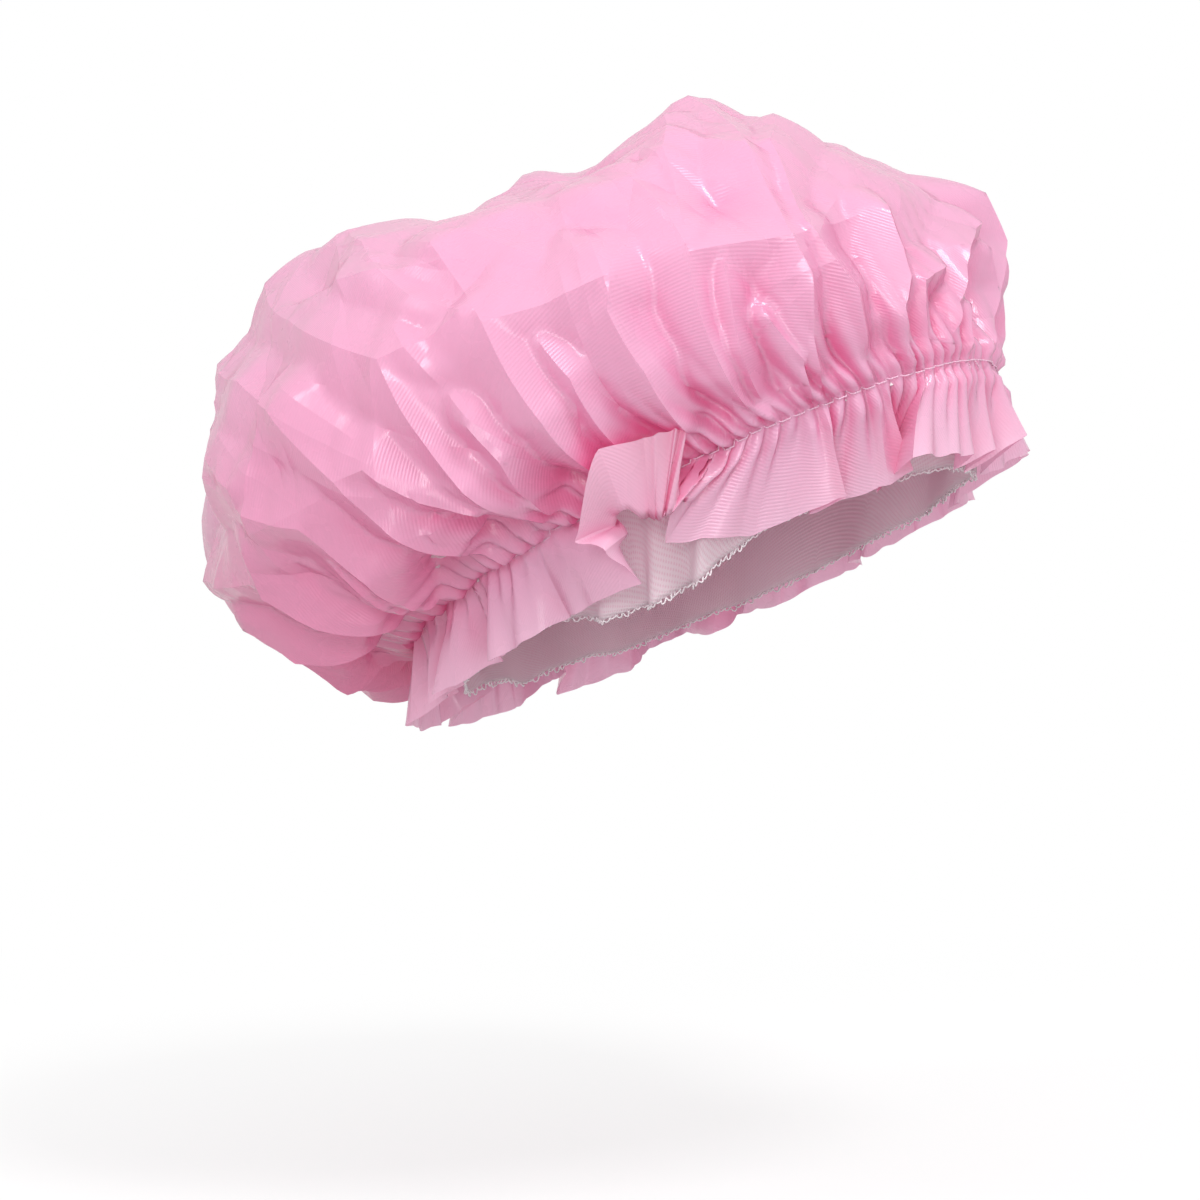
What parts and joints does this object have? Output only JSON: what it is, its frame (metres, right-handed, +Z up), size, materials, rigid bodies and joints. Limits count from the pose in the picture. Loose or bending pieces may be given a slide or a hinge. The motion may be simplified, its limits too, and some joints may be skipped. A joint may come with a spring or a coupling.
{
  "type": "shower cap",
  "caption": "Puffed bathing cap of glossy film, gathered by an elastic seam into a flared ruffle, with a terry knit lining inside.",
  "frame": {"origin": "middle of the head opening, in the plane of the elastic seam", "axes": "+Z up as worn on an upright head, -Y to the forehead side, +X to the wearer's left"},
  "size_m": [0.2783, 0.2982, 0.2164],
  "materials": {
    "film": "glossy embossed film, slightly see-through",
    "terry": "looped terry knit with a raw cut edge",
    "elastic": "woven covered elastic",
    "thread": "spun sewing thread"
  },
  "bodies": {
    "root": {"film_cap": "film", "terry_lining": "terry", "elastic_band": "elastic", "needle_thread": "thread", "bobbin_thread": "thread"}
  },
  "joints": []
}
